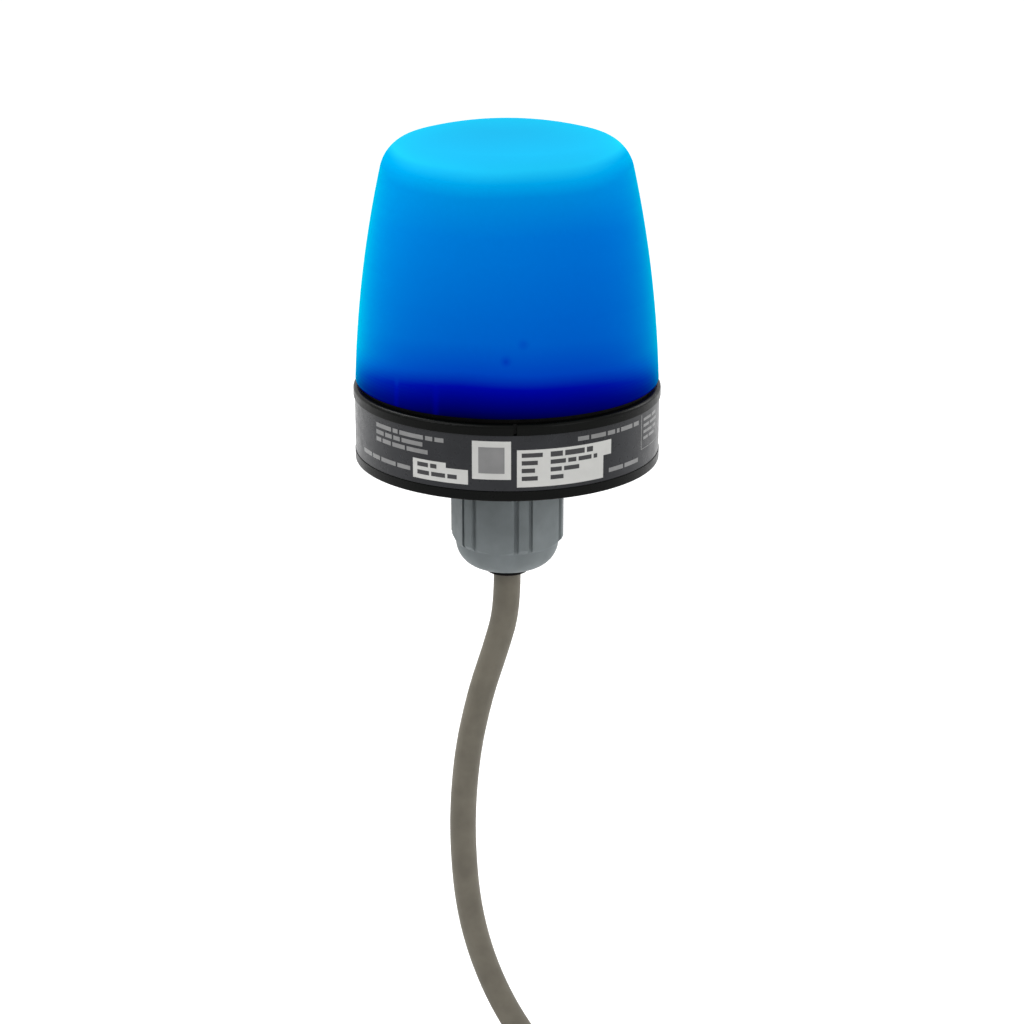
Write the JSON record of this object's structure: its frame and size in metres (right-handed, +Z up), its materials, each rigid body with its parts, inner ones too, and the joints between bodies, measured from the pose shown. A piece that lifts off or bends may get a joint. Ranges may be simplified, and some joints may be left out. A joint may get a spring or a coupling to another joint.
{
  "type": "signal beacon",
  "caption": "Round signal beacon with a lit blue translucent globe that twists off a black base, with a cable gland and a tied lead below.",
  "frame": {"origin": "middle of the base's flat underside, where the beacon is fixed", "axes": "+Z up along the beacon's axis into the globe, the label's front faces -Y"},
  "size_m": [0.0925, 0.0828, 0.3897],
  "materials": {
    "housing_black": "satin moulded",
    "label_film": "satin printed film",
    "black_rubber": "matt",
    "globe_blue": "glossy, lit from inside",
    "board_white": "white solder mask",
    "lamp_case": "matt",
    "part_black": "moulded",
    "can_aluminium": "drawn",
    "screw_steel": "zinc plated",
    "insert_brass": "turned",
    "connector_nylon": "natural nylon",
    "tinned_metal": "tinned",
    "gland_grey": "fine matt nylon",
    "cable_grey": "matt jacket",
    "tie_black": "nylon",
    "core_white": "insulation",
    "core_blue": "insulation",
    "core_red": "insulation",
    "core_green": "insulation",
    "core_black": "insulation"
  },
  "bodies": {
    "base": {"base_housing": "housing_black", "label_band": "label_film", "globe_gasket": "black_rubber", "led_board": "board_white", "leds": "lamp_case", "chip_resistors": "part_black", "capacitors": "can_aluminium", "choke": "part_black", "driver_chip": "part_black", "diodes": "part_black", "board_screws": "screw_steel", "mounting_inserts": "insert_brass", "header_shell": "connector_nylon", "header_pins": "tinned_metal", "lead_plug": "connector_nylon", "gland_washer": "black_rubber", "gland_body": "gland_grey", "gland_locknut": "gland_grey", "gland_seal": "black_rubber", "cable_entry": "cable_grey", "cable": "cable_grey", "cable_coil": "cable_grey", "cable_end": "cable_grey", "cable_tie": "tie_black", "tinned_tips": "tinned_metal", "core_white": "core_white", "tail_white": "core_white", "core_blue": "core_blue", "tail_blue": "core_blue", "core_red": "core_red", "tail_red": "core_red", "core_green": "core_green", "tail_green": "core_green", "core_black": "core_black", "tail_black": "core_black"},
    "globe": {"globe": "globe_blue"},
    "slip_washer": {"slip_washer": "connector_nylon"},
    "gland_nut": {"gland_nut": "gland_grey"}
  },
  "joints": [
    {"name": "globe_twist", "type": "hinge", "parent": "base", "child": "globe", "pos_m": [0, 0, 0.0218], "axis": [0, 0, 1], "range_deg": [0, 24]},
    {"name": "nut_travel", "type": "slide", "parent": "base", "child": "slip_washer", "axis": [0, 0, -1], "range_m": [0, 0.003]},
    {"name": "nut_turn", "type": "hinge", "parent": "slip_washer", "child": "gland_nut", "pos_m": [0, 0, -0.02], "axis": [0, 0, -1], "range_deg": [0, 720]}
  ],
  "couplings": [
    {"joint": "nut_travel", "follows": "nut_turn", "m_per_rad": 0.00023873}
  ]
}
